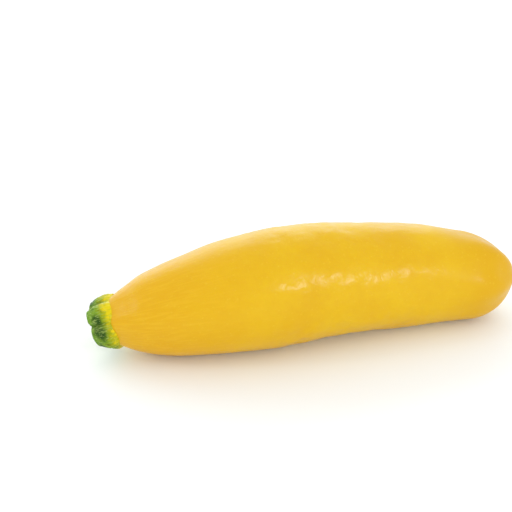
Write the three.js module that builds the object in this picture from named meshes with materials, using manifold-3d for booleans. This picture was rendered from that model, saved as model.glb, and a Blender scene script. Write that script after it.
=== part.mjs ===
// A yellow zucchini lying on its side: the fruit, grown as one piece, and the short length of its own
// stalk that was left on when it was cut from the plant.
//
// Millimetres, +Z up. The fruit's length runs along X with the stalk at -X, and it rests on Z = 0.
// The origin is the middle of the underside of the box around the whole zucchini.

import * as THREE from "three";
import { mergeVertices } from "three/addons/utils/BufferGeometryUtils.js";
import Module from "manifold-3d";

const wasm = await Module();
wasm.setup();

// ---- Driving dimensions ----------------------------------------------------------------------------

const FRUIT_LENGTH = 178; // from the stalk's seat to the blossom end

// Radius along the fruit: [share of the length from the seat, radius].
const GIRTH = [
  [0, 11.2],
  [0.03, 14.2],
  [0.08, 18.1],
  [0.17, 21.9],
  [0.3, 24.9],
  [0.45, 25.5],
  [0.6, 24.3],
  [0.75, 22.4],
  [0.88, 19.8],
];
const BLOSSOM_START = 0.88; // where the blunt blossom end begins to close
const BLOSSOM_ROUNDNESS = 1.9; // 2 closes as an ellipse, and less is more pointed

// Sideways bow of the fruit's middle line: [share of the length, offset towards +Y].
const BOW = [
  [0, 0],
  [0.25, -2],
  [0.5, 0.9],
  [0.75, 4],
  [1, 0],
];

// The underside leaves the table towards both ends.
const NECK_LIFT = 6; // height of the underside at the seat
const NECK_LIFT_FROM = 0.3;
const NECK_LIFT_POWER = 5; // a steep curve, because the shoulder swells quickly below the stalk
const BLOSSOM_LIFT = 2.6; // height of the underside at the blossom end, before its rounding
const BLOSSOM_LIFT_FROM = 0.84;
const BLOSSOM_LIFT_POWER = 2;
const FLATTENING = 0.4; // depth of the flat side on which the fruit lay as it grew

const NECK_LEAN = 15; // degrees that the seat faces down from level
const NECK_TURN = 12; // degrees that the seat faces towards +Y
const NECK_END = 0.3; // where the lean and the turn have faded out
const NECK_FADE_POWER = 2;
const SEAT_DOME = 2; // how far the flesh domes out inside the stalk's base

const STALK_LENGTH = 10.4; // from the seat to the cut
const STALK_ROOT = 7; // how far its blank reaches into the fruit before it is hollowed to fit
const STALK_DIP = 14; // degrees that its axis drops from level
const STALK_TURN = 9; // degrees that its axis turns towards +Y
const STALK_GAP = 0.3; // clearance between stalk and fruit
const CUT_SLANT = 0.09; // share by which it is longer on top than in the middle, and shorter below

// Crest radius along the stalk: [distance from the seat, radius].
const STALK_CREST = [
  [-STALK_ROOT, 10.6],
  [0, 11.5],
  [3, 11.8],
  [6, 11.4],
  [8.2, 10.4],
  [9.6, 9.2],
  [STALK_LENGTH, 8],
];

// Directions of the stalk's six rounded lobes, in degrees up from the horizontal that faces -Y.
const LOBE_ANGLES = [-84, -16, 55, 110, 166, 222];
const VALLEY_DEPTH = 2; // at the middle of the stalk's length
const VALLEY_SHARPNESS = 2.6; // 2 gives round valleys, and more gives narrow ones

const ROUND_STEPS = 48;
const BODY_STEPS = 34;
const RING_CROWDING = 1.6; // more than 1 sets the rings closer together towards the blossom end
const DOME_STEPS = 3;
const STALK_ROUND_STEPS = 72;
const STALK_STEPS = 12;

// ---- Helpers ---------------------------------------------------------------------------------------

// The smooth curve through points [x, y], sorted by x: a cubic between each pair, level with the
// chord between a point's two neighbours.
function curveThrough(points) {
  const last = points.length - 1;
  const slopes = points.map((_, i) => {
    const [x0, y0] = points[Math.max(i - 1, 0)];
    const [x1, y1] = points[Math.min(i + 1, last)];
    return (y1 - y0) / (x1 - x0);
  });
  return (x) => {
    const inside = THREE.MathUtils.clamp(x, points[0][0], points[last][0]);
    let i = 0;
    while (i < last - 1 && inside > points[i + 1][0]) i += 1;
    const [x0, y0] = points[i];
    const [x1, y1] = points[i + 1];
    const width = x1 - x0;
    const u = (inside - x0) / width;
    return (
      y0 * (1 + 2 * u) * (1 - u) ** 2 +
      y1 * u ** 2 * (3 - 2 * u) +
      width * u * (1 - u) * (slopes[i] * (1 - u) - slopes[i + 1] * u)
    );
  };
}

// 0 up to the start, then rising as a power to 1 at the end. The start may lie past the end.
function rise(x, start, end, power) {
  return THREE.MathUtils.clamp((x - start) / (end - start), 0, 1) ** power;
}

// Moves every vertex of a geometry to place(vertex), and leaves only its shared positions.
function reshaped(geometry, place) {
  const bare = geometry.clone();
  bare.deleteAttribute("normal");
  bare.deleteAttribute("uv");
  const shared = mergeVertices(bare);
  const positions = shared.getAttribute("position");
  const vertex = new THREE.Vector3();
  for (let i = 0; i < positions.count; i += 1) {
    vertex.fromBufferAttribute(positions, i);
    positions.setXYZ(i, ...place(vertex).toArray());
  }
  return mergeVertices(shared);
}

function solidOf(geometry) {
  const vertProperties = geometry.getAttribute("position").array;
  const triVerts = new Uint32Array(geometry.index.array);
  return new wasm.Manifold(new wasm.Mesh({ numProp: 3, vertProperties, triVerts }));
}

function geometryOf(solid) {
  const { vertProperties, triVerts } = solid.getMesh();
  const geometry = new THREE.BufferGeometry();
  geometry.setAttribute("position", new THREE.BufferAttribute(vertProperties, 3));
  geometry.setIndex(new THREE.BufferAttribute(triVerts, 1));
  return geometry;
}

// ---- Fruit -----------------------------------------------------------------------------------------

const girth = curveThrough(GIRTH);
const bow = curveThrough(BOW);
const [[tBefore, radiusBefore], [tLast, radiusLast]] = GIRTH.slice(-2);
const taper = (radiusLast - radiusBefore) / (tLast - tBefore);
const LEAN_AXIS = new THREE.Vector3(0, 1, 0);
const TURN_AXIS = new THREE.Vector3(0, 0, 1);

// The radius that the fruit would have if its blossom end did not close.
function openRadius(t) {
  return girth(Math.min(t, BLOSSOM_START)) + taper * Math.max(t - BLOSSOM_START, 0);
}

function radiusAt(t) {
  const closing = Math.max(t - BLOSSOM_START, 0) / (1 - BLOSSOM_START);
  return openRadius(t) * (1 - closing ** BLOSSOM_ROUNDNESS) ** (1 / BLOSSOM_ROUNDNESS);
}

function middleAt(t) {
  const neckLift = NECK_LIFT * rise(t, NECK_LIFT_FROM, 0, NECK_LIFT_POWER);
  const blossomLift = BLOSSOM_LIFT * rise(t, BLOSSOM_LIFT_FROM, 1, BLOSSOM_LIFT_POWER);
  const height = neckLift + blossomLift + openRadius(t) - FLATTENING;
  return new THREE.Vector3(FRUIT_LENGTH * (t - 0.5), bow(t), height);
}

// The lathe's profile as [radius, distance along], from the dome in the seat to the blossom end.
// The surface turns fastest at the blossom end.
function fruitProfile(grow) {
  const points = [];
  for (let i = 0; i < DOME_STEPS; i += 1) {
    const angle = (Math.PI / 2) * (i / DOME_STEPS);
    const radius = i === 0 ? 0 : (GIRTH[0][1] + grow) * Math.sin(angle);
    points.push(new THREE.Vector2(radius, -(SEAT_DOME + grow) * Math.cos(angle)));
  }
  for (let i = 0; i < BODY_STEPS; i += 1) {
    const t = 1 - (1 - i / BODY_STEPS) ** RING_CROWDING;
    points.push(new THREE.Vector2(radiusAt(t) + grow, FRUIT_LENGTH * t));
  }
  points.push(new THREE.Vector2(0, FRUIT_LENGTH + grow));
  return points;
}

// Sets each ring of a straight lathe, turned about Y, on the fruit's bowed middle line.
function fruitGeometry(grow = 0) {
  const straight = new THREE.LatheGeometry(fruitProfile(grow), ROUND_STEPS);
  return reshaped(straight, (vertex) => {
    const t = THREE.MathUtils.clamp(vertex.y / FRUIT_LENGTH, 0, 1);
    const beyond = vertex.y - FRUIT_LENGTH * t;
    const fade = rise(t, NECK_END, 0, NECK_FADE_POWER);
    const place = new THREE.Vector3(beyond, vertex.z, vertex.x)
      .applyAxisAngle(LEAN_AXIS, -THREE.MathUtils.degToRad(NECK_LEAN) * fade)
      .applyAxisAngle(TURN_AXIS, -THREE.MathUtils.degToRad(NECK_TURN) * fade)
      .add(middleAt(t));
    place.z = Math.max(place.z, 0);
    return place;
  });
}

// ---- Stalk -----------------------------------------------------------------------------------------

// 0 on a lobe's crest, rising to 1 in the valley on either side of it.
function valley(angle) {
  const turn = 360;
  const ahead = LOBE_ANGLES.map((lobe) => THREE.MathUtils.euclideanModulo(lobe - angle, turn));
  const behind = LOBE_ANGLES.map((lobe) => THREE.MathUtils.euclideanModulo(angle - lobe, turn));
  const toNext = Math.min(...ahead);
  const toLast = Math.min(...behind);
  const onCrest = toNext === 0 || toLast === 0;
  return onCrest ? 0 : (2 * Math.min(toNext, toLast)) / (toNext + toLast);
}

function stalkBlank() {
  const crest = curveThrough(STALK_CREST);
  const profile = [new THREE.Vector2(0, -STALK_ROOT)];
  for (let i = 0; i <= STALK_STEPS; i += 1) {
    const share = Math.sin((i / STALK_STEPS) * (Math.PI / 2));
    const along = THREE.MathUtils.lerp(-STALK_ROOT, STALK_LENGTH, share);
    profile.push(new THREE.Vector2(crest(along), along));
  }
  profile.push(new THREE.Vector2(0, STALK_LENGTH));

  const dip = THREE.MathUtils.degToRad(STALK_DIP);
  const turn = THREE.MathUtils.degToRad(STALK_TURN);
  const axis = new THREE.Vector3(
    -Math.cos(dip) * Math.cos(turn),
    Math.cos(dip) * Math.sin(turn),
    -Math.sin(dip),
  );
  const front = new THREE.Vector3(0, 0, 1).cross(axis).normalize();
  const top = new THREE.Vector3().crossVectors(axis, front);
  const seat = middleAt(0);

  const round = new THREE.LatheGeometry(profile, STALK_ROUND_STEPS);
  return reshaped(round, (vertex) => {
    const radius = Math.hypot(vertex.x, vertex.z);
    const angle = THREE.MathUtils.radToDeg(Math.atan2(vertex.x, vertex.z));
    const inward = VALLEY_DEPTH * valley(angle) ** VALLEY_SHARPNESS * (radius / STALK_CREST[1][1]);
    const scale = radius > 0 ? (radius - inward) / radius : 1;
    const slant = vertex.y > 0 ? 1 + (CUT_SLANT * vertex.x) / STALK_CREST[1][1] : 1;
    return seat
      .clone()
      .addScaledVector(top, vertex.x * scale)
      .addScaledVector(front, vertex.z * scale)
      .addScaledVector(axis, vertex.y * slant);
  });
}

// The stalk's base is hollowed to sit over the fruit's shoulder.
function stalkGeometry() {
  return geometryOf(solidOf(stalkBlank()).subtract(solidOf(fruitGeometry(STALK_GAP))));
}

// ---- The zucchini ----------------------------------------------------------------------------------

const skin = new THREE.MeshStandardMaterial({ color: "#e8b728", roughness: 0.45, metalness: 0 });
const stalkRind = new THREE.MeshStandardMaterial({ color: "#7f9844", roughness: 0.6, metalness: 0 });

const fruit = new THREE.Mesh(fruitGeometry(), skin);
fruit.name = "fruit";
const stem = new THREE.Mesh(stalkGeometry(), stalkRind);
stem.name = "stem";

const zucchini = new THREE.Group();
zucchini.add(fruit, stem);

const middle = new THREE.Box3().setFromObject(zucchini).getCenter(new THREE.Vector3());
for (const piece of zucchini.children) piece.position.set(-middle.x, -middle.y, 0);

export default zucchini;
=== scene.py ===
import math
from functools import partial

import bpy
import numpy as np
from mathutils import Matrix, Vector, noise


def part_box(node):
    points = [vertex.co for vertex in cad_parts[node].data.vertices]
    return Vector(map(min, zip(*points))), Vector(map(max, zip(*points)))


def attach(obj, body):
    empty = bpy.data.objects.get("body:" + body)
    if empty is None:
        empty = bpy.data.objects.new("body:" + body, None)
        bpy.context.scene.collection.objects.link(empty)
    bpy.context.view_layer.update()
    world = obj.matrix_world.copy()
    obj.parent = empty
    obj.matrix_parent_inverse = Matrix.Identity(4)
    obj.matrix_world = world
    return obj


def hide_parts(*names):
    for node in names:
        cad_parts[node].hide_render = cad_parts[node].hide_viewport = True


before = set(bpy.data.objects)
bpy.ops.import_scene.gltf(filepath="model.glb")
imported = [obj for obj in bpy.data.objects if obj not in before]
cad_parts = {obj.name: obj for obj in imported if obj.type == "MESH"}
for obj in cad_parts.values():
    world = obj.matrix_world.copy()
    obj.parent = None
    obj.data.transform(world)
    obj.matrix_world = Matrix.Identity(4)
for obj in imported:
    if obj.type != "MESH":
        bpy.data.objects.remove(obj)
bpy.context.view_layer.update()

MM = 0.001

# ---- Fruit: its sizes -------------------------------------------------------------------------------

FRUIT_LENGTH = 178 * MM
RINGS = 352
SIDES = 256
RING_CROWDING = 1.6  # more than 1 sets the rings closer together towards the blossom end
DOME_SHARE = 0.03  # share of the rings that close the end inside the stalk
SEAT_DOME = 2 * MM
CLOSING = 0.004 * MM  # points nearer than this are joined, which closes the seam and both ends

# Outlines: a share of the length from the seat, and a size there in millimetres. Each range holds its sizes.
GIRTH = [(0, 11.2), (0.03, 14.2), (0.08, 18.1), (0.17, 21.9), (0.3, 24.9), (0.45, 25.5), (0.6, 24.3),
         (0.75, 22.4), (0.88, 19.8), (1, 17.4)]  # the radius, before the blossom end is rounded off
GIRTH_RANGE = (0, 30)
BOW = [(0, 0), (0.25, -2), (0.5, 0.9), (0.75, 4), (1, 0)]  # how far the middle line bows towards +Y
BOW_RANGE = (-10, 10)
BELLY = [(0, 0), (0.3, 0), (0.4, 0.5), (0.53, -0.6), (0.72, 0.5), (0.86, 0), (1, 0)]  # swelling below
BELLY_RANGE = (-2, 2)
BELLY_TURN = math.radians(-115)  # from +Y, so that it faces down and forwards

SEAT_LEAN = math.radians(15)  # the seat faces down from level
SEAT_TURN = math.radians(12)  # and towards +Y
NECK_END = 0.3  # where the lean, the turn and the lift of the neck have faded out
FADE_POWER = 2  # of the lean and turn there, and of the ribs at the neck
NECK_LIFT = 6 * MM
NECK_LIFT_POWER = 5
BLOSSOM_START = 0.88  # where the blossom end begins to round off
BLOSSOM_ROUNDNESS = 1.9
BLOSSOM_LIFT = 2.6 * MM
BLOSSOM_LIFT_FROM = 0.84
BLOSSOM_LIFT_POWER = 2
FLATTENING = 0.4 * MM  # depth of the flat side that it rests on

# Relief. Places are shares of the length, and a width is the distance from one bump to the next.
RIBS = 6  # one for each lobe of the stalk
RIB_HEIGHT, RIB_TURN, RIB_FADE = 0.35 * MM, math.radians(114), (0.0, 0.5)
END_RIB_HEIGHT, END_RIB_TURN = 0.65 * MM, math.radians(42)
END_RIB_RISE, END_RIB_FALL = (0.76, 0.94), (0.95, 1.0)
SWELL_HEIGHT, SWELL_WIDTH = 1.6 * MM, 42 * MM
DENT_DEPTH, DENT_WIDTH, DENT_UNEVENNESS = 1.3 * MM, 13 * MM, 0.4
RIPPLE_DEPTH, RIPPLE_WIDTH = 0.35 * MM, 6.5 * MM
DENTED_FROM = (0.2, 0.42)  # where the dents and ripples come in
DENTED_TO = (0.66, 0.86)  # and where they die away
SCAR_DEPTH, SCAR_REACH, SCAR_RISE = 0.7 * MM, 7 * MM, (0.93, 0.97)  # the hollow round the scar
TIP_HOLLOW = (170 * MM, -11 * MM, 6 * MM)  # the middle of a shallow hollow beside the tip
TIP_HOLLOW_DEPTH, TIP_HOLLOW_REACH = 0.5 * MM, 9 * MM

# Looks of the rind. Places are shares of the length.
NECK_SHADE = (0.02, 0.42)  # where the deeper colour and the streaks of the neck fade out
TAIL_SHADE = (0.74, 0.96)  # where the deeper colour of the blossom end comes in and the wax thins
PEBBLES_FADE = (0.64, 0.78)
SCAR_START, SCAR_EDGE, SCAR_RAGGEDNESS = (0.9, 0.92), (2.4 * MM, 3.8 * MM), 0.6 * MM
SPREAD = (0.3, 0.7)  # most of the values of a noise lie between these

# ---- Stalk: its sizes, in millimetres ---------------------------------------------------------------

STALK_LENGTH = 10.6
STALK_DIP = math.radians(14)  # its axis drops from level
STALK_TURN = math.radians(9)  # and turns towards +Y
STALK_COLUMNS = 360
BASE_ROWS = 14
SIDE_ROWS = 90
RIM_ROWS = 10
FACE_ROWS = 36
RIM = 1.1  # radius of the rounded rim
CUT_SLANT = 0.09  # the cut leans: the top is longer and the underside shorter by this share
FACE_SINK = 0.5  # the cut face has dried in, by this below the rim and as much again in its middle
# Share of the way from base to rim, and the radius over a lobe's crest there.
STALK_CREST = [(0, 11.2), (0.15, 11.4), (0.4, 11.65), (0.7, 11.3), (0.88, 10.6), (1, 9.8)]
# The same shares, and how much deeper the valleys are.
STALK_VALLEY = [(0, 0.3), (0.3, 1.0), (0.7, 1.7), (1, 2.0)]
# The lobes lie between these valleys, in degrees up from the horizontal that faces -Y. With each valley
# comes its depth, then the lobe that follows it: its extra girth, its extra reach past the cut, and how
# strong the painted highlight along its upper edge is.
VALLEYS = [-48, 27, 82, 138, 194, 246]
VALLEY_DEPTHS = [0.8, 0.6, 1, 1, 1, 1]
LOBE_GIRTHS = [1.0, 0.2, 0, 0.3, 0, 0.6]
LOBE_REACHES = [0.3, 0.35, -1.1, 0.5, 0.1, -1.2]
LOBE_EDGE_HIGHLIGHTS = [0.1, 1, 0.7, 0.5, 0.8, 0.3]
LOBE_SQUARENESS = 4  # more makes the lobes flatter and the valleys narrower
GIRTH_BY = 0.4  # share of the way by which a lobe has its extra girth
VALLEY_SETBACK = 0.5  # the rim stops this much short in the valleys
# The edge of the base lies along the seat's slope at the lap radius. It laps over the fruit by this much, and
# by more under each crest. The side is tucked in over the first share of the way.
LAP_RADIUS, LAP, CREST_LAP = 11.4, 0.25, 0.15
TUCK, TUCK_SHARE = 0.25, 0.05
SEAT_CLEARANCE = 0.1  # between the hidden face and the fruit
SEAT_EDGE_POWER = 6  # keeps the hidden face close to the fruit until near its edge
FACE_LIP_POWER = 5  # keeps the cut face flat until near its lip
PITH_RIM_ROWS = 3  # rows of the rim that are pith
PITH_RIM, PITH_FACE = 0.99, 0.98  # how far out from the middle they and the face reach, where the rind is 1
# Relief: widths and heights, then the share of the way by which it is at its full height.
LUMP_WIDTH, LUMP_HEIGHT = 3.2, 0.3
GRIT_WIDTH, GRIT_HEIGHT, FACE_GRIT_HEIGHT = 1.1, 0.13, 0.2
GRIT_NOISE = (1.0, 2.0, 3)  # how fast its octaves fade, the step between them and their number
FIBRE_LENGTH, FIBRE_WIDTH, FIBRE_HEIGHT = 4.5, 0.62, 0.11
CREASE_WIDTH, CREASE_LENGTH, CREASE_HEIGHT = 0.8, 4.0, 0.12
CREASE_START = Vector((7, 3, 1))  # where in the noise the creases are read
RELIEF_BY = 0.08
# Where the rind stays dark or ripens: degrees up as above, share of the way to the cut, and its reach both
# ways.
DARK_PATCHES = [(37, 0.72, 13, 0.24), (9, 0.7, 20, 0.3), (-30, 0.85, 16, 0.16), (108, 0.95, 18, 0.2),
                (150, 0.6, 12, 0.2), (182, 0.75, 15, 0.2), (236, 0.7, 18, 0.2), (268, 0.8, 14, 0.2)]
RIPE_PATCHES = [(62, 0.3, 22, 0.3), (105, 0.45, 25, 0.4), (-75, 0.2, 20, 0.35), (160, 0.25, 20, 0.25),
                (215, 0.2, 24, 0.3)]
EDGE_HIGHLIGHT_AT, EDGE_HIGHLIGHT_WIDTH = 0.87, 0.06  # the painted highlight along a lobe's upper edge, as shares of the lobe's width
HAIRY_FROM, HAIRY_TO = 0.1, 0.98  # bristles grow between these shares of the way
POLE_CLOSING = 0.001 * MM  # points nearer than this are joined, which closes the middle of both faces
# The density is in bristles a square metre, and the lean is added to the direction outwards.
BRISTLES = {"Density": 220000.0, "Length": 0.9 * MM, "Thickness": 0.045 * MM, "Lean": (-1.1, 0.1, -0.3),
            "Seed": 7}
BRISTLE_SIZES = (0.5, 1.2)  # the smallest and largest, as shares of those sizes

# ---- Stage ------------------------------------------------------------------------------------------

FLOOR_HALF = 3.0  # half of its side
FLOOR_DROP = 0.1 * MM  # keeps the floor clear of the flat side
CAMERA_TURN, CAMERA_RISE = math.radians(-11.7), math.radians(28)
CAMERA_DISTANCE = 529 * MM
CAMERA_LENS, CAMERA_SENSOR = 85, 36
CAMERA_CLIP = (0.05, 20)
LOOKED_AT = Vector((6.4, -0.2, 24.6)) * MM
MOVED_RIGHT, MOVED_UP = -27.9 * MM, 11.8 * MM  # the view's middle, off that point
LIT_AT = (0, 0, 0.02)  # the point that every light faces
# Azimuth from the front, elevation, distance, size, power and colour. The panel behind gives the pale
# reflection along the top, and the small boxes in front and at the side the broken glints.
LIGHTS = {"back_panel": (193, 26, 1.6, (3.0, 1.3), 17.2, (0.68, 0.93, 1)),
          "front_box": (30, 27, 1.2, (0.26, 0.2), 3.0, (0.8, 0.95, 1)),
          "side_box": (-88, 31, 1.2, (0.1, 0.08), 0.7, (0.85, 0.97, 1))}


def linear(colour):
    """The linear RGBA of an sRGB hex colour such as "#e8b728"."""
    shares = [int(colour[i:i + 2], 16) / 255 for i in (1, 3, 5)]
    return [s / 12.92 if s <= 0.04045 else ((s + 0.055) / 1.055) ** 2.4 for s in shares] + [1.0]


def fill(node, inputs):
    """Fills a node's sockets by name or number: a socket is linked, a value is set, None is left alone."""
    for where, value in inputs.items():
        if isinstance(value, bpy.types.NodeSocket):
            node.id_data.links.new(value, node.inputs[where])
        elif value is not None:
            node.inputs[where].default_value = value


def add(tree, kind, *inputs, out=0, at=None, **settings):
    """Adds a node with its settings. Inputs fill its sockets in order, and `at` fills more by name or
    number. Returns the output asked for."""
    node = tree.nodes.new(kind)
    for name, value in settings.items():
        setattr(node, name, value)
    fill(node, {**dict(enumerate(inputs)), **(at or {})})
    return node.outputs[out] if len(node.outputs) else node


def curve_through(points):
    """The smooth curve through points (x, y), parallel at each to the chord between its neighbours."""
    xs, ys = np.array(points, float).T
    slopes = np.empty(len(xs))
    slopes[1:-1] = (ys[2:] - ys[:-2]) / (xs[2:] - xs[:-2])
    slopes[0] = (ys[1] - ys[0]) / (xs[1] - xs[0])
    slopes[-1] = (ys[-1] - ys[-2]) / (xs[-1] - xs[-2])

    def at(x):
        x = np.clip(np.asarray(x, float), xs[0], xs[-1])
        i = np.clip(np.searchsorted(xs, x, side="right") - 1, 0, len(xs) - 2)
        width = xs[i + 1] - xs[i]
        u = (x - xs[i]) / width
        return (ys[i] * (1 + 2 * u) * (1 - u) ** 2 + ys[i + 1] * u ** 2 * (3 - 2 * u)
                + width * u * (1 - u) * (slopes[i] * (1 - u) - slopes[i + 1] * u))

    return at


def linked(name, data):
    """An object of that mesh, light or camera, linked to the scene."""
    thing = bpy.data.objects.new(name, data)
    bpy.context.scene.collection.objects.link(thing)
    return thing


def new_tree(name, kinds):
    """An empty Geometry Nodes tree with those named inputs, and the sockets that give them."""
    tree = bpy.data.node_groups.new(name, "GeometryNodeTree")
    tree.interface.new_socket("Geometry", in_out="OUTPUT", socket_type="NodeSocketGeometry")
    for label, kind in kinds.items():
        tree.interface.new_socket(label, in_out="INPUT", socket_type="NodeSocket" + kind)
    return tree, tree.nodes.new("NodeGroupInput").outputs


def grown_by(tree, start, name, sizes):
    """Runs a Geometry Nodes tree on a mesh and returns its result as a plain mesh. `sizes` gives the
    tree's named inputs, which are set by their identifiers before anything is evaluated."""
    holder = linked(name + "_maker", start)
    modifier = holder.modifiers.new("grow", "NODES")
    modifier.node_group = tree
    for item in tree.interface.items_tree:
        if item.item_type == "SOCKET" and item.in_out == "INPUT" and item.name in sizes:
            modifier[item.identifier] = sizes[item.name]
    graph = bpy.context.evaluated_depsgraph_get()
    mesh = bpy.data.meshes.new_from_object(holder.evaluated_get(graph))
    mesh.name = name
    holder.modifiers.remove(modifier)
    bpy.data.objects.remove(holder)
    return mesh


# ---- Materials --------------------------------------------------------------------------------------

def new_material(name):
    """A new material with its shader, and `add` for its tree."""
    material = bpy.data.materials.new(name)
    material.use_nodes = True
    return material, material.node_tree.nodes["Principled BSDF"], partial(add, material.node_tree)


def waxy_rind():
    """Ripe rind of summer squash: thin, tight and yellow to the flesh, under a natural wax. The eye sees
    a warm, slightly see-through yellow with a soft gloss, broken by pores and faint streaks."""
    material, shader, node = new_material("waxy_squash_rind")
    grown = node("ShaderNodeAttribute", attribute_name="grown", out="Vector")
    along, side, up = (node("ShaderNodeSeparateXYZ", grown, out=i) for i in range(3))
    across = node("ShaderNodeCombineXYZ", 0.0, side, up)
    share = node("ShaderNodeMapRange", along, 0.0, FRUIT_LENGTH)
    neck = node("ShaderNodeMapRange", share, *NECK_SHADE, 1.0, 0.0, interpolation_type="SMOOTHSTEP")
    tail = node("ShaderNodeMapRange", share, *TAIL_SHADE, interpolation_type="SMOOTHSTEP")

    # Broad mottling about 22 mm across, fine mottling about 3 mm, a pebbled skin and its grain.
    broad, fine, pebbles, grain = (
        node("ShaderNodeTexNoise", grown, at={"Scale": 1 / (width * MM), "Detail": detail})
        for width, detail in ((22, 2.0), (3, 3.0), (2.4, 2.0), (0.9, 2.0)))
    mottle = node("ShaderNodeMath", broad, 0.7, node("ShaderNodeMath", fine, 0.3, operation="MULTIPLY"),
                  operation="MULTIPLY_ADD")
    colour = node("ShaderNodeMix", node("ShaderNodeMapRange", mottle, 0.36, 0.64),
                  at={6: linear("#dba900"), 7: linear("#e0b302")}, data_type="RGBA", out=2)

    # Fine streaks run along the neck from the seat, about 0.8 mm apart at the shoulder.
    streak_place = node("ShaderNodeVectorMath", node("ShaderNodeVectorMath", across, operation="NORMALIZE"),
                        node("ShaderNodeCombineXYZ", share, 0.0, 0.0), operation="ADD")
    streaks = node("ShaderNodeTexNoise", streak_place, at={"Scale": 26.0, "Detail": 3.0})
    neck_streaks = node("ShaderNodeMath", neck, node("ShaderNodeMapRange", streaks, 0.48, 0.62),
                        operation="MULTIPLY")

    # Pores are pale dots, drawn about 0.7 mm across so that they show.
    pore_cells = node("ShaderNodeTexVoronoi", grown, at={"Scale": 1 / (2.2 * MM)})
    pores = node("ShaderNodeMapRange", pore_cells, 0.1, 0.24, 1.0, 0.0)

    # The flower left a small corky scar in the middle of the far end, with a slightly uneven edge.
    off_middle = node("ShaderNodeVectorMath", across, operation="LENGTH", out="Value")
    ragged = node("ShaderNodeMath", off_middle,
                  node("ShaderNodeMapRange", fine, *SPREAD, -SCAR_RAGGEDNESS, SCAR_RAGGEDNESS),
                  operation="ADD")
    scar = node("ShaderNodeMath", node("ShaderNodeMapRange", ragged, *SCAR_EDGE, 1.0, 0.0),
                node("ShaderNodeMapRange", share, *SCAR_START), operation="MULTIPLY")

    # Each colour lies over those before it, as strongly as its number says: deeper ends, then details.
    for place, strength, over in ((neck, 0.85, "#dda500"), (tail, 0.8, "#d6a100"),
                                  (neck_streaks, 0.45, "#e6b61c"), (pores, 0.28, "#e7c02e"),
                                  (scar, 0.8, "#b08a3c")):
        colour = node("ShaderNodeMix", node("ShaderNodeMath", place, strength, operation="MULTIPLY"),
                      at={6: colour, 7: linear(over)}, data_type="RGBA", out=2)

    # The grain, with pores less than half as high and the neck's streaks twice as high.
    relief = node("ShaderNodeMath", pores, 0.4, grain, operation="MULTIPLY_ADD")
    relief = node("ShaderNodeMath", streaks, node("ShaderNodeMath", neck, 2.0, operation="MULTIPLY"),
                  relief, operation="MULTIPLY_ADD")
    # The skin is smoother towards the blossom end, and its wax thinner.
    pebbling = node("ShaderNodeMapRange", share, *PEBBLES_FADE, 1.0, 0.3)
    pebbled = node("ShaderNodeBump", at={"Strength": pebbling, "Distance": 0.13 * MM, "Height": pebbles})
    bump = node("ShaderNodeBump", at={"Strength": 0.6, "Distance": 0.09 * MM, "Height": relief,
                                      "Normal": pebbled})
    fill(shader, {"Base Color": colour, "Normal": bump, "Coat Normal": bump, "IOR": 1.45,
                  "Roughness": node("ShaderNodeMapRange", fine, *SPREAD, 0.36, 0.46),
                  "Specular IOR Level": 0.17, "Coat IOR": 1.45, "Coat Roughness": 0.19,
                  "Coat Weight": node("ShaderNodeMapRange", tail, at={"To Min": 0.3, "To Max": 0.18}),
                  "Subsurface Weight": 0.1, "Subsurface Radius": (1.0, 0.55, 0.12),
                  "Subsurface Scale": 3 * MM})
    return material


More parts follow.
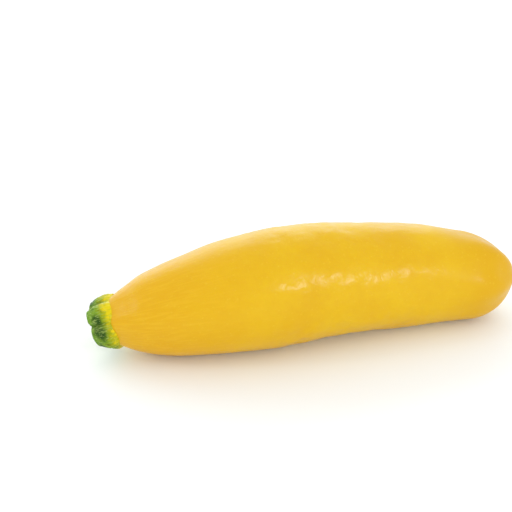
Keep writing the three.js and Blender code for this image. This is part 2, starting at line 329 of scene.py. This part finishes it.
def stalk_rind():
    """Ribbed green rind of the stalk: firm, dull and slightly hairy. It ripens to yellow where it meets
    the fruit, keeps dark green patches, and its short hairs lie along it as fine pale and dark streaks.
    Its valleys carry painted shade, and the upper edge of each lobe carries a painted highlight."""
    material, shader, node = new_material("ribbed_stalk_rind")
    place = node("ShaderNodeAttribute", attribute_name="straight", out="Vector")
    toward_cut, valley, dark, ripe, edge_highlight = (
        node("ShaderNodeAttribute", attribute_name=name, out="Fac")
        for name in ("toward_cut", "valley", "dark", "ripe", "edge_highlight"))

    # Hairs are drawn about 0.4 mm across so that they show. They and the blotches break up every edge.
    hair = node("ShaderNodeTexNoise", node("ShaderNodeMapping", place, at={"Scale": (0.2, 1.0, 1.0)}),
                at={"Scale": 1 / (0.7 * MM), "Detail": 2.0, "Roughness": 0.6})
    blotch = node("ShaderNodeTexNoise", place, at={"Scale": 1 / (3.5 * MM), "Detail": 3.0})
    hair_wander = node("ShaderNodeMapRange", hair, 0.35, 0.65, -0.16, 0.16)
    wander = node("ShaderNodeMath", node("ShaderNodeMapRange", blotch, *SPREAD, -0.2, 0.2), hair_wander,
                  operation="ADD")

    # A ripe patch has the colours of the rind a third of the way nearer to the fruit.
    unripe = node("ShaderNodeMath", ripe, -0.35, toward_cut, operation="MULTIPLY_ADD")
    colour = node("ShaderNodeValToRGB", node("ShaderNodeMath", unripe, wander, operation="ADD"))
    stops = colour.node.color_ramp.elements
    stops[0].position, stops[0].color = 0.0, linear("#dfc80e")
    stops[1].position, stops[1].color = 0.95, linear("#729a2c")
    for where, stop in ((0.12, "#bab20c"), (0.28, "#969e0e"), (0.45, "#88a01a"), (0.7, "#769828")):
        stops.new(where).color = linear(stop)

    far = node("ShaderNodeMapRange", toward_cut, 0.15, 0.55)
    patches = node("ShaderNodeMapRange", node("ShaderNodeMath", dark, wander, operation="ADD"), 0.2, 0.75)
    # Painted shade: the valleys between the lobes are darkened, away from the fruit.
    groove = node("ShaderNodeMapRange", node("ShaderNodeMath", valley, hair_wander, operation="ADD"),
                  0.78, 1.0, 0.0, 0.7)
    # The painted highlight along each lobe's upper edge is broken up by the hairs.
    highlight_breakup = node("ShaderNodeMapRange", hair, 0.35, 0.55, 0.0, 0.7)
    pale = node("ShaderNodeMapRange", hair, 0.53, 0.66)
    deep = node("ShaderNodeMapRange", hair, 0.47, 0.36, 0.0, 0.65)
    pale_colour = node("ShaderNodeMix", far, at={6: linear("#e6d23c"), 7: linear("#a9bd62")},
                       data_type="RGBA", out=2)
    # Each colour lies over those before it, as strongly as its two numbers multiply to.
    for one, other, over in ((patches, 0.97, linear("#2a4d0e")), (groove, far, linear("#3f5c1a")),
                             (edge_highlight, highlight_breakup, linear("#e3e08a")), (pale, 0.6, pale_colour),
                             (deep, far, linear("#2f4c12"))):
        shown = node("ShaderNodeMath", one, other, operation="MULTIPLY")
        colour = node("ShaderNodeMix", shown, at={6: colour, 7: over}, data_type="RGBA", out=2)

    bump = node("ShaderNodeBump", at={"Strength": 0.8, "Distance": 0.15 * MM, "Height": hair})
    fill(shader, {"Base Color": colour, "Normal": bump, "Roughness": 0.5, "IOR": 1.45,
                  "Specular IOR Level": 0.16, "Subsurface Weight": 0.08,
                  "Subsurface Radius": (0.7, 1.0, 0.2), "Subsurface Scale": 0.8 * MM})
    return material


def cut_pith():
    """Pith of the stalk, cut across and dried: pale, matt and fibrous. A whitish ring lies just inside the
    green rind, then a greener ring of veins, then the paler spongy middle."""
    material, shader, node = new_material("dried_stalk_pith")
    place = node("ShaderNodeTexCoord", out="Object")
    from_middle = node("ShaderNodeAttribute", attribute_name="from_middle", out="Fac")
    # Fibres are about 0.8 mm apart and three times as long, and slant across the face.
    stretched = node("ShaderNodeMapping", place, at={"Rotation": (0.5, 0.0, 0.0), "Scale": (1.0, 1.0, 0.35)})
    fibre = node("ShaderNodeTexNoise", stretched, at={"Scale": 1 / (0.8 * MM), "Detail": 3.0})
    patch = node("ShaderNodeTexNoise", place, at={"Scale": 1 / (3 * MM), "Detail": 2.0})
    wander = node("ShaderNodeMapRange", patch, *SPREAD, -0.07, 0.07)
    colour = node("ShaderNodeValToRGB", node("ShaderNodeMath", from_middle, wander, operation="ADD"))
    stops = colour.node.color_ramp.elements
    stops[0].position, stops[0].color = 0.2, linear("#cdbf78")
    stops[1].position, stops[1].color = 0.97, linear("#dcdcae")
    for where, stop in ((0.5, "#c4b566"), (0.7, "#a9a851"), (0.82, "#b9b265"), (0.88, "#e6e0ba")):
        stops.new(where).color = linear(stop)
    # Pale fibres, then the dark gaps between them.
    for shown, over in ((node("ShaderNodeMapRange", fibre, 0.52, 0.68, 0.0, 0.75), "#e9e2bc"),
                        (node("ShaderNodeMapRange", fibre, 0.46, 0.34, 0.0, 0.5), "#8f8a3c")):
        colour = node("ShaderNodeMix", shown, at={6: colour, 7: linear(over)}, data_type="RGBA", out=2)
    bump = node("ShaderNodeBump", at={"Strength": 0.8, "Distance": 0.25 * MM, "Height": fibre})
    fill(shader, {"Base Color": colour, "Normal": bump, "Roughness": 0.75, "IOR": 1.4})
    return material


def stalk_hair():
    """Short stiff plant hairs, dry and pale: they catch the light as fine glints along the stalk."""
    material, shader, _ = new_material("stalk_hair")
    fill(shader, {"Base Color": linear("#c4c880"), "Roughness": 0.45, "IOR": 1.5})
    return material


# ---- Fruit ------------------------------------------------------------------------------------------

def drawn(tree, x, points, low, high):
    """The outline through points (x, y in millimetres) as a curve of the socket x, in metres."""
    value = add(tree, "ShaderNodeFloatCurve", at={"Value": x})
    curve = value.node.mapping.curves[0]
    while len(curve.points) < len(points):
        curve.points.new(0.5, 0.5)
    for point, (where, size) in zip(curve.points, points):
        point.location = (where, (size - low) / (high - low))
    value.node.mapping.update()
    return add(tree, "ShaderNodeMapRange", value, 0.0, 1.0, low * MM, high * MM)


def fruit_tree():
    """The rule of the fruit's shape: rings set along a bowed middle line, then ribs, swells and dents."""
    lengths = ["Length", "Seat Dome", "Neck Lift", "Blossom Lift", "Flattening", "Rib Height",
               "End Rib Height", "Swell Height", "Dent Depth", "Ripple Depth"]
    tree, given = new_tree("fruit_shape", {"Rings": "Int", "Sides": "Int", **dict.fromkeys(lengths, "Float"),
                                           "Rind": "Material"})
    node = partial(add, tree)

    # A flat grid gives each vertex its place along the fruit and around it.
    columns = node("ShaderNodeMath", given["Sides"], 1, operation="ADD")
    grid = node("GeometryNodeMeshGrid", 1.0, 1.0, given["Rings"], columns)
    flat = node("GeometryNodeInputPosition")
    u, v = (node("ShaderNodeMath", node("ShaderNodeSeparateXYZ", flat, out=i), 0.5, operation="ADD")
            for i in range(2))
    still_to_go = node("ShaderNodeMath", 1.0, node("ShaderNodeMapRange", u, DOME_SHARE, 1.0),
                       operation="SUBTRACT")
    t = node("ShaderNodeMath", 1.0, node("ShaderNodeMath", still_to_go, RING_CROWDING, operation="POWER"),
             operation="SUBTRACT")
    dome_turn = node("ShaderNodeMapRange", u, 0.0, DOME_SHARE, math.pi / 2, 0.0)
    beyond = node("ShaderNodeMath", given["Seat Dome"], node("ShaderNodeMath", dome_turn, operation="SINE"),
                  operation="MULTIPLY")

    girth = drawn(tree, t, GIRTH, *GIRTH_RANGE)
    closing = node("ShaderNodeMapRange", t, BLOSSOM_START, 1.0)
    left = node("ShaderNodeMath", 1.0, node("ShaderNodeMath", closing, BLOSSOM_ROUNDNESS, operation="POWER"),
                operation="SUBTRACT")
    closed = node("ShaderNodeMath", node("ShaderNodeMath", left, 0.0, operation="MAXIMUM"),
                  1 / BLOSSOM_ROUNDNESS, operation="POWER")
    radius = node("ShaderNodeMath", node("ShaderNodeMath", girth, closed, operation="MULTIPLY"),
                  node("ShaderNodeMath", dome_turn, operation="COSINE"), operation="MULTIPLY")
    turn = node("ShaderNodeMath", v, 2 * math.pi, operation="MULTIPLY")
    side, up = (node("ShaderNodeMath", radius, node("ShaderNodeMath", turn, operation=part),
                     operation="MULTIPLY") for part in ("COSINE", "SINE"))

    # The rings near the stalk lean back to face it.
    neck = node("ShaderNodeMapRange", t, 0.0, NECK_END, 1.0, 0.0)
    fade = node("ShaderNodeMath", neck, FADE_POWER, operation="POWER")
    tilt = node("ShaderNodeCombineXYZ", 0.0, node("ShaderNodeMath", fade, -SEAT_LEAN, operation="MULTIPLY"),
                node("ShaderNodeMath", fade, -SEAT_TURN, operation="MULTIPLY"))
    upright = node("ShaderNodeCombineXYZ", node("ShaderNodeMath", beyond, -1.0, operation="MULTIPLY"),
                   side, up)
    off_middle = node("ShaderNodeVectorRotate", at={"Vector": upright, "Rotation": tilt},
                      rotation_type="EULER_XYZ")
    neck_lift = node("ShaderNodeMath", node("ShaderNodeMath", neck, NECK_LIFT_POWER, operation="POWER"),
                     given["Neck Lift"], operation="MULTIPLY")
    tail = node("ShaderNodeMapRange", t, BLOSSOM_LIFT_FROM, 1.0)
    tail_lift = node("ShaderNodeMath", node("ShaderNodeMath", tail, BLOSSOM_LIFT_POWER, operation="POWER"),
                     given["Blossom Lift"], operation="MULTIPLY")
    middle = node("ShaderNodeMath", node("ShaderNodeMath", girth, neck_lift, operation="ADD"),
                  node("ShaderNodeMath", tail_lift, given["Flattening"], operation="SUBTRACT"),
                  operation="ADD")
    x = node("ShaderNodeMath", node("ShaderNodeMath", t, 0.5, operation="SUBTRACT"), given["Length"],
             operation="MULTIPLY")
    on_middle = node("ShaderNodeCombineXYZ", x, drawn(tree, t, BOW, *BOW_RANGE), middle)
    place = node("ShaderNodeVectorMath", on_middle, off_middle, operation="ADD")

    # "grown" is where each point would be on a straight fruit, so that patterns follow the growth.
    along = node("ShaderNodeMath", node("ShaderNodeMath", t, given["Length"], operation="MULTIPLY"), beyond,
                 operation="SUBTRACT")
    grown = node("GeometryNodeStoreNamedAttribute", grid, None, "grown",
                 node("ShaderNodeCombineXYZ", along, side, up), data_type="FLOAT_VECTOR")
    shaped = node("GeometryNodeSetPosition", grown, None, place)
    joined = node("GeometryNodeMergeByDistance", shaped, None, CLOSING)
    outward = node("GeometryNodeFlipFaces", joined)

    # Relief, measured outwards from the smooth shape.
    straight = node("GeometryNodeInputNamedAttribute", "grown", data_type="FLOAT_VECTOR")
    s_along, s_side, s_up = (node("ShaderNodeSeparateXYZ", straight, out=i) for i in range(3))
    share = node("ShaderNodeMath", s_along, given["Length"], operation="DIVIDE")
    angle = node("ShaderNodeMath", s_up, s_side, operation="ARCTAN2")
    rib_angle = node("ShaderNodeMath", angle, float(RIBS), operation="MULTIPLY")
    neck_ribs, end_ribs = (
        node("ShaderNodeMath", node("ShaderNodeMath", rib_angle, phase, operation="ADD"), operation="COSINE")
        for phase in (RIB_TURN, END_RIB_TURN))
    at_neck = node("ShaderNodeMath", node("ShaderNodeMapRange", share, *RIB_FADE, 1.0, 0.0), FADE_POWER,
                   operation="POWER")
    at_end = node("ShaderNodeMath",
                  node("ShaderNodeMapRange", share, *END_RIB_RISE, interpolation_type="SMOOTHSTEP"),
                  node("ShaderNodeMapRange", share, *END_RIB_FALL, 1.0, 0.0), operation="MULTIPLY")
    swells, dents, ripples = (
        node("ShaderNodeMath",
             node("ShaderNodeTexNoise", straight, at={"Scale": 1 / width, "Detail": detail,
                                                      "Distortion": unevenness}),
             0.5, operation="SUBTRACT")
        for width, detail, unevenness in ((SWELL_WIDTH, 1.0, 0.0), (DENT_WIDTH, 2.0, DENT_UNEVENNESS),
                                          (RIPPLE_WIDTH, 1.0, 0.0)))
    dented = node("ShaderNodeMath",
                  node("ShaderNodeMapRange", share, *DENTED_FROM, interpolation_type="SMOOTHSTEP"),
                  node("ShaderNodeMapRange", share, *DENTED_TO, 1.0, 0.0, interpolation_type="SMOOTHSTEP"),
                  operation="MULTIPLY")
    off_axis = node("ShaderNodeVectorMath", node("ShaderNodeCombineXYZ", 0.0, s_side, s_up),
                    operation="LENGTH", out="Value")
    from_hollow = node("ShaderNodeVectorMath", straight, TIP_HOLLOW, operation="DISTANCE", out="Value")
    scar, tip_hollow = (
        node("ShaderNodeMapRange", off, 0.0, reach, -depth, 0.0, interpolation_type="SMOOTHERSTEP")
        for off, reach, depth in ((off_axis, SCAR_REACH, SCAR_DEPTH),
                                  (from_hollow, TIP_HOLLOW_REACH, TIP_HOLLOW_DEPTH)))
    at_tip = node("ShaderNodeMapRange", share, *SCAR_RISE)
    off_belly = node("ShaderNodeMath", angle, BELLY_TURN, operation="SUBTRACT")
    facing = node("ShaderNodeMath", node("ShaderNodeMath", off_belly, operation="COSINE"), 0.0,
                  operation="MAXIMUM")
    belly = drawn(tree, share, BELLY, *BELLY_RANGE)
    height = 0.0
    for shape, size, where in ((neck_ribs, given["Rib Height"], at_neck),
                               (end_ribs, given["End Rib Height"], at_end),
                               (swells, given["Swell Height"], 1.0), (dents, given["Dent Depth"], dented),
                               (ripples, given["Ripple Depth"], dented), (scar, 1.0, at_tip),
                               (belly, facing, facing), (tip_hollow, 1.0, 1.0)):
        sized = node("ShaderNodeMath", shape, size, operation="MULTIPLY")
        part = node("ShaderNodeMath", sized, where, operation="MULTIPLY")
        height = node("ShaderNodeMath", part, height, operation="ADD")
    offset = node("ShaderNodeVectorMath", node("GeometryNodeInputNormal"), operation="SCALE",
                  at={"Scale": height})
    relief = node("GeometryNodeSetPosition", outward, None, None, offset)

    # The resting side is flat on the surface below.
    flattened = node("ShaderNodeVectorMath", node("GeometryNodeInputPosition"), (-1.0, -1.0, 0.0),
                     operation="MAXIMUM")
    resting = node("GeometryNodeSetPosition", relief, None, flattened)
    smooth = node("GeometryNodeSetShadeSmooth", resting, None, True)
    real = node("GeometryNodeRealizeInstances", smooth)
    node("NodeGroupOutput", node("GeometryNodeSetMaterial", real, None, given["Rind"]))
    return tree


def make_fruit(rind):
    """The fruit as a plain object, grown from its sizes alone."""
    sizes = {"Rings": RINGS, "Sides": SIDES, "Length": FRUIT_LENGTH, "Seat Dome": SEAT_DOME,
             "Neck Lift": NECK_LIFT, "Blossom Lift": BLOSSOM_LIFT, "Flattening": FLATTENING,
             "Rib Height": RIB_HEIGHT, "End Rib Height": END_RIB_HEIGHT, "Swell Height": SWELL_HEIGHT,
             "Dent Depth": DENT_DEPTH, "Ripple Depth": RIPPLE_DEPTH, "Rind": rind}
    return linked("whole_fruit", grown_by(fruit_tree(), bpy.data.meshes.new("seed"), "whole_fruit", sizes))


# ---- Stalk ------------------------------------------------------------------------------------------

def away_from_fruit(drop, turn):
    """The direction along -X, dropped from level and turned towards +Y."""
    return np.array([-math.cos(drop) * math.cos(turn), math.cos(drop) * math.sin(turn), -math.sin(drop)])


def make_stalk(rind, pith):
    """The stalk as rows of rings: the face against the fruit, the ribbed side, the rim and the cut."""
    seat_radius = GIRTH[0][1]
    seat = np.array([-FRUIT_LENGTH / 2 / MM, 0, (NECK_LIFT - FLATTENING) / MM + seat_radius])
    seat_facing = away_from_fruit(SEAT_LEAN, SEAT_TURN)
    axis = away_from_fruit(STALK_DIP, STALK_TURN)
    front = np.cross([0, 0, 1], axis)
    front /= np.linalg.norm(front)
    top = np.cross(axis, front)

    turn = np.linspace(0, 360, STALK_COLUMNS, endpoint=False)
    past_valley = (turn[:, None] - np.array(VALLEYS)) % 360
    lobe = past_valley.argmin(1)
    widths = np.diff([*VALLEYS, VALLEYS[0] + 360])
    across = past_valley.min(1) / widths[lobe]
    valley = abs(2 * across - 1)
    crest = 1 - valley ** LOBE_SQUARENESS
    girth = np.array(LOBE_GIRTHS)[lobe] * crest
    reach = np.array(LOBE_REACHES)[lobe] * crest
    # A painted highlight along the upper edge of each lobe, where light glances off it.
    edge_highlight = np.exp(-((across - EDGE_HIGHLIGHT_AT) / EDGE_HIGHLIGHT_WIDTH) ** 2) * np.array(LOBE_EDGE_HIGHLIGHTS)[lobe]
    # The valley that each column is nearest to is the one that follows the last lobe's middle passed.
    past_middle = (turn[:, None] - (np.array(VALLEYS) + widths / 2)) % 360
    groove = valley ** LOBE_SQUARENESS * np.roll(VALLEY_DEPTHS, -1)[past_middle.argmin(1)]

    angle = np.radians(turn)
    direction = np.cos(angle)[:, None] * front + np.sin(angle)[:, None] * top
    ring_slope = -(direction @ seat_facing) / (axis @ seat_facing)
    crest_curve, valley_curve = curve_through(STALK_CREST), curve_through(STALK_VALLEY)
    base_along = ring_slope * LAP_RADIUS - LAP - CREST_LAP * crest
    base_radius = crest_curve(0) - valley_curve(0) * groove
    end_along = STALK_LENGTH * (1 + CUT_SLANT * np.sin(angle)) + reach - VALLEY_SETBACK * valley ** 2
    side_end = end_along - RIM

    rows = []  # of (radius, distance along, share of the way to the cut, share out from its middle)
    for w in np.linspace(0, 1, BASE_ROWS, endpoint=False):
        radius = base_radius * w
        dome = SEAT_DOME / MM * np.sqrt(np.clip(1 - (radius / seat_radius) ** 2, 0, 1))
        to_edge = w ** SEAT_EDGE_POWER
        rows.append((radius, ring_slope * radius + (dome + SEAT_CLEARANCE) * (1 - to_edge)
                     + (base_along - ring_slope * base_radius) * to_edge, 0, 1))
    for w in np.linspace(0, 1, SIDE_ROWS):
        tuck = TUCK * max(0, 1 - w / TUCK_SHARE) ** 2
        radius = crest_curve(w) + girth * min(1, w / GIRTH_BY) - valley_curve(w) * groove - tuck
        rows.append((radius, base_along + (side_end - base_along) * w, w, 1))
    last_radius = rows[-1][0]
    for i in range(1, RIM_ROWS + 1):
        bend = math.pi / 2 * i / RIM_ROWS
        out = 1 if i <= RIM_ROWS - PITH_RIM_ROWS else PITH_RIM
        rows.append((last_radius - RIM * (1 - math.cos(bend)), side_end + RIM * math.sin(bend), 1, out))
    rim_radius = rows[-1][0]
    for w in np.linspace(1, 0, FACE_ROWS + 1)[1:]:
        level = STALK_LENGTH * (1 + CUT_SLANT * np.sin(angle) * w) - FACE_SINK
        lip = (end_along - level) * w ** FACE_LIP_POWER
        rows.append((rim_radius * w, level + lip - FACE_SINK * (1 - w ** 2), 1, w * PITH_FACE))

    points, straights, shares, outs = [], [], [], []
    for radius, along, share, out in rows:
        for i in range(STALK_COLUMNS):
            r, s = float(radius[i]), float(along[i])
            straight = Vector((s, r * math.cos(angle[i]), r * math.sin(angle[i])))
            lump = noise.noise(straight / LUMP_WIDTH)
            grit = noise.fractal(straight / GRIT_WIDTH, *GRIT_NOISE)
            fibre = noise.noise(Vector((s / FIBRE_LENGTH, *(straight.yz / FIBRE_WIDTH))))
            crease = noise.noise(Vector((s / CREASE_WIDTH, *(straight.yz / CREASE_LENGTH))) + CREASE_START)
            if out < 1:
                s += FACE_GRIT_HEIGHT * grit + LUMP_HEIGHT * lump
            else:
                r += min(1.0, share / RELIEF_BY) * (LUMP_HEIGHT * lump + GRIT_HEIGHT * grit
                                                    + FIBRE_HEIGHT * fibre + CREASE_HEIGHT * max(crease, 0))
            points.append(seat + s * axis + r * direction[i])
            straights.append(straight * MM)
            shares.append(share)
            outs.append(out)

    faces, is_pith = [], []
    for row in range(len(rows) - 1):
        for i in range(STALK_COLUMNS):
            a, b = row * STALK_COLUMNS + i, row * STALK_COLUMNS + (i + 1) % STALK_COLUMNS
            faces.append((a, b, b + STALK_COLUMNS, a + STALK_COLUMNS))
            is_pith.append(rows[row][3] < 1)
    mesh = bpy.data.meshes.new("cut_stalk")
    mesh.from_pydata([tuple(p * MM) for p in points], [], faces)

    shares, outs, turns = np.array(shares), np.array(outs), np.tile(turn, len(rows))

    def patchy(patches):
        """How far each vertex is inside the nearest of those patches, from 0 to 1."""
        fullest = np.zeros(len(points))
        for degrees, share, wide, long in patches:
            off = ((turns - degrees + 180) % 360 - 180) / wide
            fullest = np.maximum(fullest, np.exp(-off ** 2 - ((shares - share) / long) ** 2))
        return fullest

    layers = {"toward_cut": shares, "valley": np.tile(valley, len(rows)), "dark": patchy(DARK_PATCHES),
              "ripe": patchy(RIPE_PATCHES), "edge_highlight": np.tile(edge_highlight, len(rows)),
              "hairy": (shares > HAIRY_FROM) & (shares < HAIRY_TO) & (outs == 1), "from_middle": outs}
    for name, values in layers.items():
        mesh.attributes.new(name, "FLOAT", "POINT").data.foreach_set("value", values.astype(np.float32))
    layer = mesh.attributes.new("straight", "FLOAT_VECTOR", "POINT")
    layer.data.foreach_set("vector", np.array(straights, np.float32).ravel())
    mesh.materials.append(rind)
    mesh.materials.append(pith)
    mesh.polygons.foreach_set("material_index", np.array(is_pith, np.int32))
    mesh.polygons.foreach_set("use_smooth", np.ones(len(faces), bool))
    return mesh


def bristle_tree():
    """Scatters short bristles over the hairy part of the stalk, leaning towards the cut."""
    tree, given = new_tree("stalk_bristles", {"Stalk": "Geometry", "Density": "Float", "Length": "Float",
                                              "Thickness": "Float", "Lean": "Vector", "Seed": "Int",
                                              "Hair": "Material"})
    node = partial(add, tree)
    stalk = node("GeometryNodeMergeByDistance", given["Stalk"], None, POLE_CLOSING)
    hairy = node("GeometryNodeInputNamedAttribute", "hairy", data_type="FLOAT")
    scatter = node("GeometryNodeDistributePointsOnFaces", stalk,
                   at={"Selection": node("FunctionNodeCompare", hairy, 0.5, operation="GREATER_THAN"),
                       "Density": given["Density"], "Seed": given["Seed"]})
    outward = scatter.node.outputs["Normal"]
    direction = node("ShaderNodeVectorMath", outward, given["Lean"], operation="ADD")
    turn = node("FunctionNodeAlignRotationToVector", at={"Vector": direction})
    smallest, largest = BRISTLE_SIZES
    size = node("FunctionNodeRandomValue", at={2: smallest, 3: largest, "Seed": given["Seed"]}, out=1)
    bristle = node("GeometryNodeMeshCone", 5, 1, 1, 0.0, given["Thickness"], given["Length"],
                   fill_type="TRIANGLE_FAN")
    placed = node("GeometryNodeInstanceOnPoints", scatter, None, bristle, None, None, turn, size)
    real = node("GeometryNodeRealizeInstances", placed)
    joined = node("GeometryNodeJoinGeometry", node("GeometryNodeSetMaterial", real, None, given["Hair"]))
    tree.links.new(stalk, joined.node.inputs[0])
    node("NodeGroupOutput", joined)
    return tree


# ---- Stage ------------------------------------------------------------------------------------------

def make_stage():
    """A level floor of matt, nearly white paper: it takes a soft shadow and lights the fruit from below."""
    material, paper, _ = new_material("pale_paper_sweep")
    fill(paper, {"Base Color": linear("#f7f7f6"), "Roughness": 0.9})
    corners = [(x * FLOOR_HALF, y * FLOOR_HALF, -FLOOR_DROP) for x, y in ((-1, -1), (1, -1), (1, 1), (-1, 1))]
    mesh = bpy.data.meshes.new("floor")
    mesh.from_pydata(corners, [], [(0, 1, 2, 3)])
    mesh.materials.append(material)
    floor = linked("floor", mesh)


def toward(azimuth, elevation):
    """The direction from the object to a place round it: azimuth 0 is in front, and elevation is up."""
    return Vector((math.sin(azimuth) * math.cos(elevation), -math.cos(azimuth) * math.cos(elevation),
                   math.sin(elevation)))


def aim(thing, place, target):
    """Puts a light or a camera in its place and turns it to face the target."""
    thing.location = place
    thing.rotation_euler = (Vector(target) - Vector(place)).to_track_quat("-Z", "Y").to_euler()


def add_light(name, azimuth, elevation, distance, size, power, colour):
    """A soft rectangular light, which the camera sees only as a reflection."""
    light = bpy.data.lights.new(name, "AREA")
    light.shape = "RECTANGLE"
    light.size, light.size_y = size
    light.energy = power
    light.color = colour
    lamp = linked(name, light)
    lamp.visible_camera = False
    aim(lamp, toward(math.radians(azimuth), math.radians(elevation)) * distance, LIT_AT)


def add_camera():
    """The camera: in front, a little to the left, and looking down."""
    back = toward(CAMERA_TURN, CAMERA_RISE)
    right = Vector((math.cos(CAMERA_TURN), math.sin(CAMERA_TURN), 0))
    target = LOOKED_AT + right * MOVED_RIGHT + back.cross(right) * MOVED_UP
    data = bpy.data.cameras.new("camera")
    data.lens, data.sensor_width = CAMERA_LENS, CAMERA_SENSOR
    data.clip_start, data.clip_end = CAMERA_CLIP
    camera = linked("camera", data)
    aim(camera, target + back * CAMERA_DISTANCE, target)
    bpy.context.scene.camera = camera


# ---- The zucchini -----------------------------------------------------------------------------------

fruit = make_fruit(waxy_rind())
stalk_mesh = make_stalk(stalk_rind(), cut_pith())
bristles = {**BRISTLES, "Hair": stalk_hair()}
stalk = linked("cut_stalk", grown_by(bristle_tree(), stalk_mesh, "bristly_stalk", bristles))

# Both were made about the fruit's own middle; the frame says where the fruit lies.
low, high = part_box("fruit")
corners = np.array([v.co[:] for v in fruit.data.vertices])
least, most = corners.min(0), corners.max(0)
shift = Vector((high.x - most[0], (low.y + high.y - least[1] - most[1]) / 2, 0))
for piece in (fruit, stalk):
    for vertex in piece.data.vertices:
        vertex.co += shift

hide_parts("fruit")
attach(fruit, "root")
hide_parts("stem")
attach(stalk, "root")

make_stage()
add_camera()
for name, settings in LIGHTS.items():
    add_light(name, *settings)
world = bpy.data.worlds.new("studio")
world.use_nodes = True
fill(world.node_tree.nodes["Background"], {"Color": (1, 1, 1, 1), "Strength": 1.0})
bpy.context.scene.world = world
bpy.context.scene.view_settings.view_transform = "Standard"
